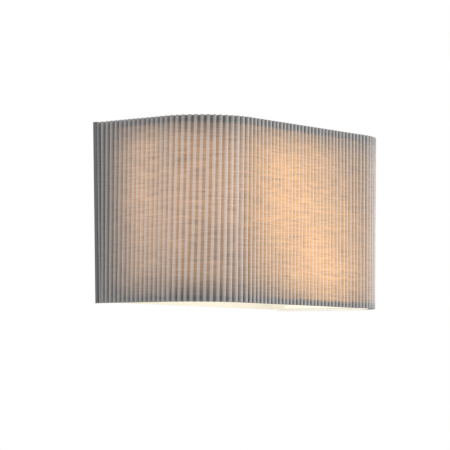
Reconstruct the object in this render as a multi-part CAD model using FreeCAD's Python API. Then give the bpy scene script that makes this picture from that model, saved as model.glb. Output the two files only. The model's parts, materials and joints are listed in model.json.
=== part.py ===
"""Pleated fabric wall light, D-shaped in plan, 307 x 155 x 180 mm.

Frame: origin on the wall plane at the middle of the fixing slots, +X to the right along the
wall, +Y into the wall, +Z up. The shade stands out from the wall towards -Y. Millimetres.
"""
import FreeCAD
import Part
import math
import os
from FreeCAD import Vector

os.makedirs("parts", exist_ok=True)

# ---- driving dimensions: shade ---------------------------------------------------------
shade_height = 180.0
shade_width = 294.8  # over the folds' valleys
shade_depth = 149.8  # wall to the front's valleys
corner_radius = 53.5
wall_gap = 1.5  # cloth edge to the wall
pleat_count = 93
pleat_height = 5.5  # valley to crest
shoulder_place = 0.2  # share of the pitch, from the valley
shoulder_height = 0.7  # share of the pleat's height
selvedge = 2.9  # wall edge to where the first whole fold begins
cloth_backing = 0.6  # cloth behind the valleys
glue_gap = 0.2
liner_thickness = 0.5
hem_height = 7.0
wire_diameter = 4.0
wire_gap = 0.3  # hem tape to wire ring
ring_inset = 3.5  # shade edge to the ring's centre line
weld_gap = 0.1
upright_wall_gap = 2.5
upright_end_gap = 0.5  # shade edge to the upright's end
edge_tape_width = 4.6  # along the first fold
edge_tape_thickness = 0.6

# ---- driving dimensions: wall side -----------------------------------------------------
flange_wire_gap = 2.8  # panel flange to the shade's uprights
panel_edge_gap = 1.5  # shade edge to the panel's edge
panel_thickness = 1.2
flange_depth = 16.0
fixing_spacing = 140.0
fixing_slot_width = 5.0
fixing_slot_length = 11.0
cable_hole_diameter = 16.0
cable_hole_drop = 12.0  # below the centre of the panel
cable_bore_diameter = 9.0
grommet_lip = 2.4
grommet_lip_thickness = 1.6

pin_shank_diameter = 4.0
pin_head_diameter = 6.4
pin_tail_diameter = 3.0
pin_head_thickness = 1.0
pin_rivet_thickness = 1.0
pin_setback = 9.0  # wall to the pin's axis
pin_spacing = 120.0  # upper to lower pin
clip_thickness = 1.0
clip_side_gap = 0.25
clip_height = 15.0
clip_slot_gap = 0.25
clip_nose = 6.0  # metal in front of the slot

cover_width = 100.0
cover_height = 70.0
cover_depth = 30.0
cover_thickness = 1.0
cover_foot = 9.0
cover_corner = 4.0
cover_tab_height = 14.0
cover_tab_corner = 2.0
cover_screw_diameter = 4.0

block_length = 30.0
block_depth = 13.0
block_height = 17.0
block_offset = 22.0  # right of the centre
block_poles = 3
block_bore_diameter = 3.4
block_screw_diameter = 3.0
block_screw_gap = 0.3
block_screw_recess = 0.8
block_screw_slot_depth = 0.6
block_screw_slot_width = 0.6
block_screw_place = 0.22  # share of the block's height, from its ends
block_bore_place = 0.45  # share of the block's depth, from the panel
block_notch_width = 1.2  # between poles
block_corner = 1.2
block_level = 8.0  # above the centre of the panel
earth_offset = 36.0  # left of the centre
earth_stud_diameter = 4.0
earth_stud_length = 12.0
earth_stud_chamfer = 0.5
nut_width = 7.0
nut_height = 3.2
tag_thickness = 0.8
tag_ring_diameter = 8.4
tag_neck = 8.0
tag_neck_width = 3.2
tag_barrel_length = 6.0
earth_bow = 3.0  # of the earth lead, off a straight line

# ---- driving dimensions: lamps ---------------------------------------------------------
lamp_reach = 78.0  # wall to the lamps' axes
lamp_stagger = 7.0  # each lamp's axis to the centre plane
bracket_width = 26.0
bracket_thickness = 2.0
bracket_foot = 27.0
bracket_head_width = 58.0
bracket_head_depth = 18.0
bracket_head_corner = 3.0
bracket_screw_spacing = 16.0
bracket_screw_tail = 1.0  # beyond the nut
m3_diameter = 3.0
m3_head_diameter = 5.2
m3_head_height = 1.8
block_head_diameter = 4.4
block_head_height = 1.6
m4_diameter = 4.0
m4_head_diameter = 7.2
m4_head_height = 2.4
holder_width = 21.0
holder_depth = 14.0
holder_height = 17.0
holder_corner = 2.5
holder_foot_width = 35.0
holder_foot_depth = 11.0
holder_foot_height = 3.5
holder_screw_spacing = 27.5
socket_depth = 8.0
socket_corner = 2.0
socket_clearance = 0.25
socket_floor_gap = 0.3  # under the lamp's base
lamp_base_width = 16.6
lamp_base_depth = 8.6
lamp_base_height = 10.0
lamp_base_corner = 1.8
pin_pitch = 9.0  # between a lamp's two pins
pin_loop_width = 2.4
pin_wire_diameter = 0.8
pin_length = 6.0
contact_wall = 0.3
contact_gap = 0.1
contact_seat_gap = 0.05
contact_slit = 0.8
contact_recess = 0.3
contact_hole_spare = 0.5  # below the pin's tip
glass_diameter = 14.0
glass_length = 38.0
glass_wall = 1.0
post_diameter = 1.4
post_top_gap = 4.0  # glass to the post's tip
source_diameter = 4.4
source_start = 7.0  # up the post
source_top_gap = 2.0
lead_diameter = 2.2
lead_gap = 0.1
lead_rise = 1.6  # lampholder's bottom to the lead
lead_pass_diameter = 10.0
lead_pass_setback = 14.0  # bracket's foot to the lead hole
lead_lift = 9.0  # terminal block to the leads' first turn
lead_lift_step = 3.5  # between live and neutral
lead_side_share = 1.6  # of the spacing, between upper and lower
lead_fall = 2.0
lead_lean = 0.45  # share of the way across at the second turn
lead_turn_depth = 6.0
lead_turn_step = 1.0
lead_inner_run = 10.0  # behind the cover's front
lead_outer_run = 8.5  # in front of the cover
lead_outer_step = 3.5
lead_upper_turn = 24.0  # cover to the upper leads' turn
lead_upper_rise = 3.0
lead_pass_clear = 6.0  # above and below the bracket
lead_pass_step = 1.5
lead_final_run = 9.0  # to the lampholder
lead_hole_diameter = 12.0
lead_hole_rise = 14.0
lead_entry = 3.0  # into the lampholder
bush_wall = 1.5
bush_lip = 1.5
screw_clearance = 0.2
thread_gap = 0.03
nut_thread_gap = 0.02

# ---- sizes worked out from the driving ones --------------------------------------------
half_height = shade_height / 2
wire_radius = wire_diameter / 2
liner_offset = cloth_backing + glue_gap
wire_offset = liner_offset + liner_thickness + wire_gap + wire_radius
ring_level = half_height - ring_inset
upright_x = shade_width / 2 - wire_offset
upright_y = -upright_wall_gap - wire_radius
flange_face = upright_x - wire_radius - flange_wire_gap
panel_height = shade_height - 2 * panel_edge_gap
panel_front = -panel_thickness
cover_front = panel_front - cover_depth
cable_z = -cable_hole_drop
tag_y = panel_front - lead_diameter / 2 - tag_thickness
bracket_screw_level = -bracket_foot / 2 - bracket_thickness / 2
arm_top = bracket_thickness / 2
arm_front = -lamp_reach - bracket_head_depth / 2
lead_pass_y = cover_front - bracket_thickness - lead_pass_setback
holder_bottom = arm_top
holder_top = holder_bottom + holder_height
socket_floor = holder_top - socket_depth
contact_hole_radius = pin_loop_width / 2 + contact_gap + contact_wall + contact_seat_gap
contact_depth = pin_length + contact_hole_spare
lead_level = holder_bottom + lead_rise + lead_diameter / 2
base_bottom = socket_floor + socket_floor_gap
base_top = base_bottom + lamp_base_height
glass_top = base_top + glass_length


# ---- small builders --------------------------------------------------------------------
def save(node, shapes):
    """Writes one node, one solid or a group of separate ones."""
    group = shapes if isinstance(shapes, list) else [shapes]
    for solid in group:
        if not solid.isValid() or solid.Volume <= 0:
            print("BAD SOLID in", node)
    shape = group[0] if len(group) == 1 else Part.makeCompound(group)
    shape.exportStep("parts/%s.step" % node)


def box(x0, x1, y0, y1, z0, z1):
    return Part.makeBox(x1 - x0, y1 - y0, z1 - z0, Vector(x0, y0, z0))


def rod(radius, start, end):
    line = Vector(*end) - Vector(*start)
    return Part.makeCylinder(radius, line.Length, Vector(*start), line)


def rounded(shape, radius, axis):
    """Rounds the straight edges that run along one axis."""
    edges = [e for e in shape.Edges if abs(e.tangentAt(e.FirstParameter).dot(axis)) > 0.999]
    return shape.makeFillet(radius, edges)


def mirrored_x(shape):
    return shape.mirror(Vector(0, 0, 0), Vector(1, 0, 0))


def mirrored_z(shape):
    return shape.mirror(Vector(0, 0, 0), Vector(0, 0, 1))


def solid_of(shape):
    return shape.Solids[0]


def extruded(wire, height):
    return solid_of(Part.Face(wire).extrude(Vector(0, 0, height)))


def screw(radius, head_radius, head_height, start, direction, length):
    """Pan head with a cross slot, its shank running from start along direction."""
    way = Vector(*direction)
    seat = Vector(*start)
    head = Part.makeCylinder(head_radius, head_height, seat, way * -1)
    crown = head.Edges[0] if head.Edges[0].BoundBox.Center.distanceToPoint(seat) > head_height / 2 \
        else head.Edges[2]
    head = head.makeFillet(head_height * 0.4, [crown])
    shank = Part.makeCylinder(radius, length, seat, way)
    side = Vector(1, 0, 0) if abs(way.x) < 0.5 else Vector(0, 0, 1)
    cross = side.cross(way)
    body = head.fuse(shank)
    for along, across in ((side, cross), (cross, side)):
        slot = Part.makeBox(head_radius * 1.1, head_radius * 0.28, head_height * 0.5)
        place = FreeCAD.Matrix(
            along.x, across.x, way.x, 0,
            along.y, across.y, way.y, 0,
            along.z, across.z, way.z, 0,
            0, 0, 0, 1)
        slot.translate(Vector(-head_radius * 0.55, -head_radius * 0.14, -head_height * 1.01))
        slot.transformShape(place)
        slot.translate(seat)
        body = body.cut(slot)
    return solid_of(body)


def round_run(points, radius):
    """Tube along a route of straight runs joined by tangent arcs."""
    route = [Vector(*p) for p in points]
    edges = []
    start = route[0]
    for before, corner, after in zip(route, route[1:], route[2:]):
        into = (corner - before).normalize()
        away = (after - corner).normalize()
        turn = into.getAngle(away)
        cut = 0.45 * min((corner - before).Length, (after - corner).Length)
        bend = cut / math.tan(turn / 2)
        first = corner - into * cut
        last = corner + away * cut
        inward = (away - into).normalize()
        middle = corner + inward * (math.hypot(bend, cut) - bend)
        edges.append(Part.LineSegment(start, first).toShape())
        edges.append(Part.Arc(first, middle, last).toShape())
        start = last
    edges.append(Part.LineSegment(start, route[-1]).toShape())
    spine = Part.Wire(edges)
    lead = (route[1] - route[0]).normalize()
    ring = Part.Wire([Part.makeCircle(radius, route[0], lead)])
    return solid_of(spine.makePipeShell([ring], True, False))


# ---- the D-shaped plan -----------------------------------------------------------------
side_run = shade_depth - corner_radius
front_run = shade_width - 2 * corner_radius
corner_run = math.pi / 2 * corner_radius
plan_length = 2 * side_run + front_run + 2 * corner_run


def plan_point(along, outward):
    """Point at a distance along the valley line from the left wall edge, moved outward."""
    half = shade_width / 2
    if along > plan_length / 2:
        point = plan_point(plan_length - along, outward)
        return Vector(-point.x, point.y, 0)
    if along <= side_run:
        return Vector(-half - outward, -along, 0)
    if along <= side_run + corner_run:
        angle = (along - side_run) / corner_radius
        reach = corner_radius + outward
        centre = Vector(-half + corner_radius, -side_run, 0)
        return centre + Vector(-math.cos(angle), -math.sin(angle), 0) * reach
    across = along - side_run - corner_run
    return Vector(-half + corner_radius + across, -shade_depth - outward, 0)


def plan_edges(inset, wall):
    """Lines and arcs parallel to the plan, inset from it, from left wall to right wall."""
    half = shade_width / 2 - inset
    front = -shade_depth + inset
    bend = corner_radius - inset
    diagonal = bend * (1 - math.sqrt(0.5))
    left_foot = Vector(-half, -wall, 0)
    left_bend = Vector(-half, front + bend, 0)
    left_front = Vector(-half + bend, front, 0)
    right_front = Vector(half - bend, front, 0)
    right_bend = Vector(half, front + bend, 0)
    right_foot = Vector(half, -wall, 0)
    left_middle = Vector(-half + diagonal, front + diagonal, 0)
    right_middle = Vector(half - diagonal, front + diagonal, 0)
    return [
        Part.LineSegment(left_foot, left_bend).toShape(),
        Part.Arc(left_bend, left_middle, left_front).toShape(),
        Part.LineSegment(left_front, right_front).toShape(),
        Part.Arc(right_front, right_middle, right_bend).toShape(),
        Part.LineSegment(right_bend, right_foot).toShape(),
    ]


def plan_shell(inset, thickness, wall, bottom, height):
    """Upright skin parallel to the plan, with both back ends cut square."""
    outer = plan_edges(inset, wall)
    inner = plan_edges(inset + thickness, wall)
    ends = []
    for number in (0, -1):
        pick = 0 if number == 0 else 1
        start = outer[number].Vertexes[pick].Point
        end = inner[number].Vertexes[pick].Point
        ends.append(Part.LineSegment(start, end).toShape())
    wire = Part.Wire(Part.__sortEdges__(outer + inner + ends))
    shell = extruded(wire, height)
    shell.translate(Vector(0, 0, bottom))
    return shell


# ---- shade -----------------------------------------------------------------------------
def pleat_line():
    """Outer line of the pleats: narrow valleys between broad, round-shouldered crests.

    The first and last folds run on flat to the wall at crest height.
    """
    first = wall_gap + selvedge
    pitch = (plan_length - 2 * first) / pleat_count
    near = shoulder_place * pitch
    shoulder = shoulder_height * pleat_height
    points = [plan_point(wall_gap, pleat_height)]
    for number in range(pleat_count):
        start = first + number * pitch
        if number:
            points.append(plan_point(start, 0))
            points.append(plan_point(start + near, shoulder))
        points.append(plan_point(start + pitch / 2, pleat_height))
        if number < pleat_count - 1:
            points.append(plan_point(start + pitch - near, shoulder))
    points.append(plan_point(plan_length - wall_gap, pleat_height))
    return points


def pleated_fabric():
    points = pleat_line()
    inner = plan_edges(cloth_backing, wall_gap)
    left_back = inner[0].Vertexes[0].Point
    right_back = inner[-1].Vertexes[1].Point
    edges = Part.makePolygon([left_back] + points + [right_back]).Edges
    cloth = extruded(Part.Wire(edges + inner[::-1]), shade_height)
    cloth.translate(Vector(0, 0, -half_height))
    return cloth


def wire_ring(level):
    """Round wire bent to the plan, its two legs ending at the uprights."""
    leg_end = upright_wall_gap + wire_diameter + weld_gap
    spine = Part.Wire(plan_edges(wire_offset, leg_end))
    foot = spine.Vertexes[0].Point
    circle = Part.Wire([Part.makeCircle(wire_radius, foot, Vector(0, -1, 0))])
    ring = solid_of(spine.makePipeShell([circle], True, False))
    ring.translate(Vector(0, 0, level))
    return ring


def uprights():
    bars = []
    end = half_height - upright_end_gap
    for x in (-upright_x, upright_x):
        bars.append(rod(wire_radius, (x, upright_y, -end), (x, upright_y, end)))
    return bars


def back_edge_tapes():
    """Tape folded over each back edge: across it and along the first flat fold outside."""
    inner = shade_width / 2 - liner_offset - liner_thickness
    face = shade_width / 2 + pleat_height + weld_gap
    outer = face + edge_tape_thickness
    behind = -wall_gap + edge_tape_thickness
    across = box(inner, outer, -wall_gap, behind, -half_height, half_height)
    along = box(face, outer, -wall_gap - edge_tape_width, behind, -half_height, half_height)
    tape = solid_of(across.fuse(along).removeSplitter())
    return [tape, mirrored_x(tape)]


def fork_clip(level):
    """Sheet-metal fork: its slot opens to the wall and rides on a shoulder pin."""
    inside = flange_face + clip_side_gap
    outside = inside + clip_thickness
    back = -upright_wall_gap
    slot_half = pin_shank_diameter / 2 + clip_slot_gap
    front = -pin_setback - slot_half - clip_nose
    half = clip_height / 2
    plate = box(inside, outside, front, back, level - half, level + half)
    plate = plate.cut(box(inside, outside, -pin_setback, back, level - slot_half, level + slot_half))
    eye = rod(slot_half, (inside, -pin_setback, level), (outside, -pin_setback, level))
    plate = solid_of(plate.cut(eye))
    ear_inner = pin_head_diameter / 2 + clip_slot_gap
    weld_face = upright_x - wire_radius - weld_gap
    for low, high in ((-half, -ear_inner), (ear_inner, half)):
        ear = box(outside, weld_face, upright_y - wire_radius / 2, back, level + low, level + high)
        plate = plate.fuse(ear)
    return solid_of(plate.removeSplitter())


def shoulder_pin(level):
    """Pin riveted through the panel's flange; the fork rides between flange and head."""
    shoulder = flange_face + clip_side_gap + clip_thickness + clip_side_gap
    tip = shoulder + pin_head_thickness
    upset_start = flange_face - panel_thickness
    tail_end = upset_start - pin_rivet_thickness

    def stage(diameter, start, end):
        return rod(diameter / 2, (start, -pin_setback, level), (end, -pin_setback, level))

    shank = stage(pin_shank_diameter, flange_face, shoulder)
    head = stage(pin_head_diameter, shoulder, tip)
    tail = stage(pin_tail_diameter, flange_face, tail_end)
    upset = stage(pin_shank_diameter, upset_start, tail_end)
    return solid_of(shank.fuse([head, tail, upset]))


# ---- back panel and wiring -------------------------------------------------------------
def back_panel():
    half_w, half_h = flange_face, panel_height / 2
    sheet = box(-half_w, half_w, -panel_thickness, 0, -half_h, half_h)
    for side in (-1, 1):
        x0, x1 = sorted((side * half_w, side * (half_w - panel_thickness)))
        sheet = sheet.fuse(box(x0, x1, -flange_depth, 0, -half_h, half_h))
    sheet = sheet.removeSplitter()
    slot_radius = fixing_slot_width / 2
    slot_run = (fixing_slot_length - fixing_slot_width) / 2
    for side in (-1, 1):
        x = side * fixing_spacing / 2
        for end in (-slot_run, slot_run):
            sheet = sheet.cut(rod(slot_radius, (x + end, -panel_thickness, 0), (x + end, 0, 0)))
        sheet = sheet.cut(box(x - slot_run, x + slot_run, -panel_thickness, 0, -slot_radius, slot_radius))
        for level in (-pin_spacing / 2, pin_spacing / 2):
            hole = pin_tail_diameter / 2 + thread_gap
            sheet = sheet.cut(rod(hole, (side * (half_w - panel_thickness), -pin_setback, level),
                                  (side * half_w, -pin_setback, level)))
    sheet = sheet.cut(rod(cable_hole_diameter / 2, (0, -panel_thickness, cable_z), (0, 0, cable_z)))
    for x, z, diameter in panel_screw_places():
        hole = diameter / 2 + thread_gap
        sheet = sheet.cut(rod(hole, (x, -panel_thickness, z), (x, 0, z)))
    return solid_of(sheet)


def cover_screw_places():
    x = cover_width / 2 + cover_foot / 2
    return [(-x, -cover_height / 4), (x, cover_height / 4)]


def panel_screw_places():
    """Tapped holes of the panel: cover screws, block screw and earth stud."""
    places = [(x, z, cover_screw_diameter) for x, z in cover_screw_places()]
    places.append((block_offset, block_level, m3_diameter))
    places.append((-earth_offset, 0, earth_stud_diameter))
    return places


def cable_grommet():
    hole = cable_hole_diameter / 2
    body = rod(hole, (0, -panel_thickness, cable_z), (0, 0, cable_z))
    lip_front = -panel_thickness - grommet_lip_thickness
    lip = rod(hole + grommet_lip, (0, lip_front, cable_z), (0, -panel_thickness, cable_z))
    body = body.fuse(lip)
    return solid_of(body.cut(rod(cable_bore_diameter / 2, (0, lip_front, cable_z), (0, 0, cable_z))))


def wiring_cover():
    half_w, half_h, wall = cover_width / 2, cover_height / 2, cover_thickness
    up = Vector(0, 1, 0)
    outside = rounded(box(-half_w, half_w, cover_front, panel_front, -half_h, half_h), cover_corner, up)
    inside = rounded(box(-half_w + wall, half_w - wall, cover_front + wall, panel_front,
                         -half_h + wall, half_h - wall), cover_corner - wall, up)
    shell = outside
    for (x, z), side in zip(cover_screw_places(), (-1, 1)):
        x0, x1 = sorted((side * (half_w - wall), side * (half_w + cover_foot)))
        low, high = z - cover_tab_height / 2, z + cover_tab_height / 2
        tab = rounded(box(x0, x1, panel_front - wall, panel_front, low, high), cover_tab_corner, up)
        shell = shell.fuse(tab)
    shell = shell.cut(inside)
    for x, z in cover_screw_places():
        hole = cover_screw_diameter / 2 + screw_clearance
        shell = shell.cut(rod(hole, (x, panel_front - wall, z), (x, panel_front, z)))
    shell = shell.cut(rod(lead_hole_diameter / 2, (0, cover_front, lead_hole_rise),
                          (0, cover_front + wall, lead_hole_rise)))
    for x in (-bracket_screw_spacing / 2, bracket_screw_spacing / 2):
        hole = m4_diameter / 2 + screw_clearance
        z = bracket_screw_level
        shell = shell.cut(rod(hole, (x, cover_front, z), (x, cover_front + wall, z)))
    return solid_of(shell)


def cover_screws():
    bolts = []
    length = cover_thickness + panel_thickness
    for x, z in cover_screw_places():
        start = (x, panel_front - cover_thickness, z)
        bolts.append(screw(cover_screw_diameter / 2, m4_head_diameter / 2, m4_head_height,
                           start, (0, 1, 0), length))
    return bolts


def block_screw_levels():
    low = block_level - block_height / 2
    return [low + block_height * block_screw_place, low + block_height * (1 - block_screw_place)]


def block_pole_places():
    pole = block_length / block_poles
    return [block_offset - block_length / 2 + pole * (number + 0.5) for number in range(block_poles)]


def terminal_block():
    z0 = block_level - block_height / 2
    z1 = z0 + block_height
    x0 = block_offset - block_length / 2
    face = panel_front - block_depth
    middle = panel_front - block_depth * block_bore_place
    body = box(x0, x0 + block_length, face, panel_front, z0, z1)
    body = rounded(body, block_corner, Vector(0, 1, 0))
    for x in block_pole_places():
        body = body.cut(rod(block_bore_diameter / 2, (x, middle, z0), (x, middle, z1)))
        for z in block_screw_levels():
            shaft = block_screw_diameter / 2 + block_screw_gap
            body = body.cut(rod(shaft, (x, face, z), (x, middle, z)))
    for number in range(1, block_poles):
        x = x0 + block_length / block_poles * number
        half = block_notch_width / 2
        body = body.cut(box(x - half, x + half, face, face + block_depth / 5, z0, z1))
    hole = m3_diameter / 2 + screw_clearance
    body = body.cut(rod(hole, (block_offset, face, block_level), (block_offset, panel_front, block_level)))
    return solid_of(body)


def terminal_screws():
    start = panel_front - block_depth + block_screw_recess
    end = panel_front - block_depth * block_bore_place - block_bore_diameter / 2
    radius = block_screw_diameter / 2
    half = block_screw_slot_width / 2
    bolts = []
    for x in block_pole_places():
        for z in block_screw_levels():
            bolt = rod(radius, (x, start, z), (x, end, z))
            slot = box(x - radius, x + radius, start, start + block_screw_slot_depth, z - half, z + half)
            bolts.append(solid_of(bolt.cut(slot)))
    return bolts


def terminal_fixing_screw():
    start = (block_offset, panel_front - block_depth, block_level)
    return screw(m3_diameter / 2, block_head_diameter / 2, block_head_height, start, (0, 1, 0),
                 block_depth + panel_thickness)


def earth_stud():
    radius = earth_stud_diameter / 2
    end = panel_front - earth_stud_length
    bolt = rod(radius, (-earth_offset, 0, 0), (-earth_offset, end, 0))
    return solid_of(bolt.makeChamfer(earth_stud_chamfer, [bolt.Edges[0]]))


def hex_ring(x, z, front, height, bore):
    corner = nut_width / math.sqrt(3)
    points = []
    for number in range(7):
        angle = math.radians(60 * number + 30)
        points.append(Vector(x + corner * math.cos(angle), front, z + corner * math.sin(angle)))
    nut = solid_of(Part.Face(Part.makePolygon(points)).extrude(Vector(0, height, 0)))
    return solid_of(nut.cut(rod(bore, (x, front, z), (x, front + height, z))))


def earth_nut():
    front = panel_front - tag_thickness - nut_height
    return hex_ring(-earth_offset, 0, front, nut_height, earth_stud_diameter / 2 + nut_thread_gap)


def earth_tag():
    """Ring tag under the earth nut, with the barrel that grips the earth lead."""
    front = panel_front - tag_thickness
    x = -earth_offset
    bore = earth_stud_diameter / 2 + screw_clearance
    left, right = x - tag_neck_width / 2, x + tag_neck_width / 2
    ring = rod(tag_ring_diameter / 2, (x, front, 0), (x, panel_front, 0))
    neck = box(left, right, front, panel_front, -tag_neck, 0)
    step = box(left, right, tag_y, panel_front, -tag_neck - tag_thickness, -tag_neck)
    barrel = rod(lead_diameter / 2 + tag_thickness, (x, tag_y, -tag_neck),
                 (x, tag_y, -tag_neck - tag_barrel_length))
    tag = ring.fuse([neck, step, barrel]).removeSplitter()
    return solid_of(tag.cut(rod(bore, (x, front, 0), (x, panel_front, 0))))


def earth_route():
    """From the tag's barrel below the cable hole to the middle pole's lower side."""
    low = cable_z - cable_hole_diameter / 2 - grommet_lip - lead_diameter
    start = -tag_neck - tag_barrel_length
    block_y = panel_front - block_depth * block_bore_place
    block_bottom = block_level - block_height / 2
    return [
        (-earth_offset, tag_y, start),
        (-earth_offset, tag_y, low + lead_fall),
        (-earth_offset / 2, tag_y - earth_bow, low - lead_fall),
        (block_offset * lead_lean, block_y, low),
        (block_offset, block_y, (low + block_bottom) / 2 - earth_bow),
        (block_offset, block_y, block_bottom),
    ]


# ---- lamp bracket and lampholders ------------------------------------------------------
def holder_screw_places(side):
    """side is 1 for the upper lamp and -1 for the lower one."""
    x = -side * lamp_stagger
    return [x - holder_screw_spacing / 2, x + holder_screw_spacing / 2]


def lamp_bracket():
    half = bracket_width / 2
    head = bracket_head_width / 2
    arm = box(-half, half, arm_front, cover_front, -arm_top, arm_top)
    plate = box(-head, head, arm_front, arm_front + bracket_head_depth, -arm_top, arm_top)
    plate = rounded(plate, bracket_head_corner, Vector(0, 0, 1))
    foot_front = cover_front - bracket_thickness
    foot = box(-half, half, foot_front, cover_front, -bracket_foot - arm_top, arm_top)
    shape = arm.fuse([plate, foot]).removeSplitter()
    for x in (-bracket_screw_spacing / 2, bracket_screw_spacing / 2):
        hole = m4_diameter / 2 + screw_clearance
        z = bracket_screw_level
        shape = shape.cut(rod(hole, (x, foot_front, z), (x, cover_front, z)))
    for side in (1, -1):
        for x in holder_screw_places(side):
            hole = m3_diameter / 2 + thread_gap
            shape = shape.cut(rod(hole, (x, -lamp_reach, -arm_top), (x, -lamp_reach, arm_top)))
    shape = shape.cut(rod(lead_pass_diameter / 2, (0, lead_pass_y, -arm_top), (0, lead_pass_y, arm_top)))
    return solid_of(shape)


def bracket_screws():
    bolts = []
    for x in (-bracket_screw_spacing / 2, bracket_screw_spacing / 2):
        start = (x, cover_front - bracket_thickness, bracket_screw_level)
        length = bracket_thickness + cover_thickness + nut_height + bracket_screw_tail
        bolts.append(screw(m4_diameter / 2, m4_head_diameter / 2, m4_head_height, start, (0, 1, 0),
                           length))
    return bolts


def bracket_nuts():
    front = cover_front + cover_thickness
    nuts = []
    for x in (-bracket_screw_spacing / 2, bracket_screw_spacing / 2):
        bore = m4_diameter / 2 + nut_thread_gap
        nuts.append(hex_ring(x, bracket_screw_level, front, nut_height, bore))
    return nuts


def lead_bush():
    radius = lead_hole_diameter / 2
    z = lead_hole_rise
    body = rod(radius, (0, cover_front, z), (0, cover_front + cover_thickness, z))
    lip = rod(radius + bush_lip, (0, cover_front - bush_wall, z), (0, cover_front, z))
    body = body.fuse(lip)
    bore = rod(radius - bush_wall, (0, cover_front - bush_wall, z), (0, cover_front + cover_thickness, z))
    return solid_of(body.cut(bore))


def pin_places(x):
    return [x - pin_pitch / 2, x + pin_pitch / 2]


def lampholder(x):
    """Upper ceramic lampholder; the lower one is its mirror image."""
    y = -lamp_reach
    up = Vector(0, 0, 1)

    def block(width, depth, bottom, top, corner):
        plain = box(x - width / 2, x + width / 2, y - depth / 2, y + depth / 2, bottom, top)
        return rounded(plain, corner, up)

    foot_top = holder_bottom + holder_foot_height
    body = block(holder_width, holder_depth, holder_bottom, holder_top, holder_corner)
    foot = block(holder_foot_width, holder_foot_depth, holder_bottom, foot_top, holder_corner)
    body = body.fuse(foot).removeSplitter()
    spare = 2 * socket_clearance
    body = body.cut(block(lamp_base_width + spare, lamp_base_depth + spare, socket_floor, holder_top,
                          socket_corner))
    lead_hole = lead_diameter / 2 + lead_gap
    for place in pin_places(x):
        sleeve_bottom = (place, y, socket_floor - contact_depth)
        body = body.cut(rod(contact_hole_radius, sleeve_bottom, (place, y, socket_floor)))
        lead_mouth = (place, y + holder_depth / 2, lead_level)
        body = body.cut(rod(lead_hole, (place, y, lead_level), lead_mouth))
    screw_hole = m3_diameter / 2 + screw_clearance
    for place in (x - holder_screw_spacing / 2, x + holder_screw_spacing / 2):
        body = body.cut(rod(screw_hole, (place, y, holder_bottom), (place, y, foot_top)))
    return solid_of(body)


def contacts(x):
    """Sprung sleeves that grip the lamp's pins, slit towards the wall."""
    sleeves = []
    y = -lamp_reach
    bottom = socket_floor - contact_depth + lead_diameter
    top = socket_floor - contact_recess
    inner = pin_loop_width / 2 + contact_gap
    outer = inner + contact_wall
    half = contact_slit / 2
    for place in pin_places(x):
        sleeve = rod(outer, (place, y, bottom), (place, y, top))
        sleeve = sleeve.cut(rod(inner, (place, y, bottom), (place, y, top)))
        slit = box(place - half, place + half, y, y + 2 * outer, bottom, top)
        sleeves.append(solid_of(sleeve.cut(slit)))
    return sleeves


def holder_screws(side):
    bolts = []
    for x in holder_screw_places(side):
        start = (x, -lamp_reach, side * (arm_top + holder_foot_height))
        length = holder_foot_height + bracket_thickness
        bolts.append(screw(m3_diameter / 2, m3_head_diameter / 2, m3_head_height, start,
                           (0, 0, -side), length))
    return bolts


# ---- capsule lamps ---------------------------------------------------------------------
def lamp_base(x):
    y = -lamp_reach
    half_w, half_d = lamp_base_width / 2, lamp_base_depth / 2
    body = box(x - half_w, x + half_w, y - half_d, y + half_d, base_bottom, base_top)
    return solid_of(rounded(body, lamp_base_corner, Vector(0, 0, 1)))


def lamp_glass(x):
    """Round-nosed hollow capsule that stands on the base, its bottom closed."""
    y = -lamp_reach

    def capsule(radius, bottom, top):
        nose = top - radius
        tube = rod(radius, (x, y, bottom), (x, y, nose))
        dome = Part.makeSphere(radius, Vector(x, y, nose), Vector(0, 0, 1), 0, 90, 360)
        return tube.fuse(dome).removeSplitter()

    outer = capsule(glass_diameter / 2, base_top, glass_top)
    inner = capsule(glass_diameter / 2 - glass_wall, base_top + glass_wall, glass_top - glass_wall)
    return solid_of(outer.cut(inner))


def lamp_pins(x):
    """Hairpin loops of wire, standing down from the base."""
    loops = []
    y = -lamp_reach
    radius = pin_wire_diameter / 2
    spread = pin_loop_width / 2 - radius
    low = base_bottom - pin_length + spread + radius
    for place in pin_places(x):
        left_top = Vector(place - spread, y, base_bottom)
        left_low = Vector(place - spread, y, low)
        lowest = Vector(place, y, low - spread)
        right_low = Vector(place + spread, y, low)
        right_top = Vector(place + spread, y, base_bottom)
        path = Part.Wire([
            Part.LineSegment(left_top, left_low).toShape(),
            Part.Arc(left_low, lowest, right_low).toShape(),
            Part.LineSegment(right_low, right_top).toShape(),
        ])
        circle = Part.Wire([Part.makeCircle(radius, left_top, Vector(0, 0, -1))])
        loops.append(solid_of(path.makePipeShell([circle], True, False)))
    return loops


def lamp_filament(x):
    """Upright light source inside the glass: a thin post with a fatter lit length."""
    y = -lamp_reach
    bottom = base_top + glass_wall
    top = glass_top - glass_wall - post_top_gap
    post = rod(post_diameter / 2, (x, y, bottom), (x, y, top))
    lit = rod(source_diameter / 2, (x, y, bottom + source_start), (x, y, top - source_top_gap))
    return solid_of(post.fuse(lit))


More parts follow.
